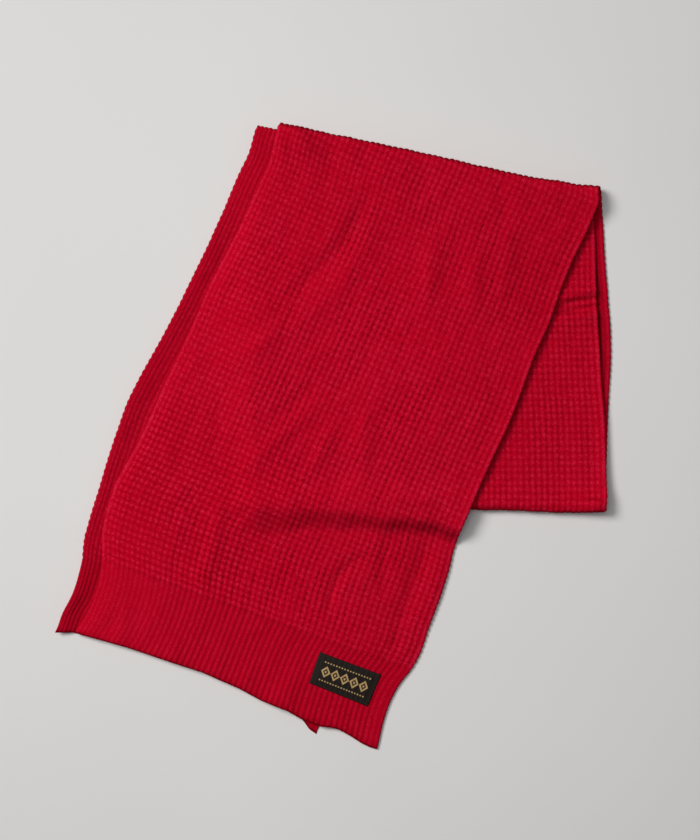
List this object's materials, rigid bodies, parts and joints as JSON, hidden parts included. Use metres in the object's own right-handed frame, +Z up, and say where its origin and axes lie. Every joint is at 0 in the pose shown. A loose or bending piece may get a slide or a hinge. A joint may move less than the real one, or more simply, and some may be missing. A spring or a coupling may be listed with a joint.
{
  "type": "knit scarf",
  "caption": "Long knitted scarf with a waffle stitch body, ribbed cuffs and a small woven label, folded over itself and laid flat.",
  "frame": {"origin": "centre of the footprint, on the surface the scarf lies on", "axes": "+Z up off the surface; +Y along the scarf's longest extent, towards its top folds; +X to the right, seen from above"},
  "size_m": [0.5264, 0.5933, 0.0178],
  "materials": {
    "red_knit": "matt red wool, waffle stitch with ribbed ends",
    "label_weave": "woven black label with gold thread"
  },
  "bodies": {
    "root": {"front_stretch": "red_knit", "under_stretch": "red_knit", "back_stretch": "red_knit", "lower_stretch": "red_knit", "label": "label_weave"}
  },
  "joints": []
}
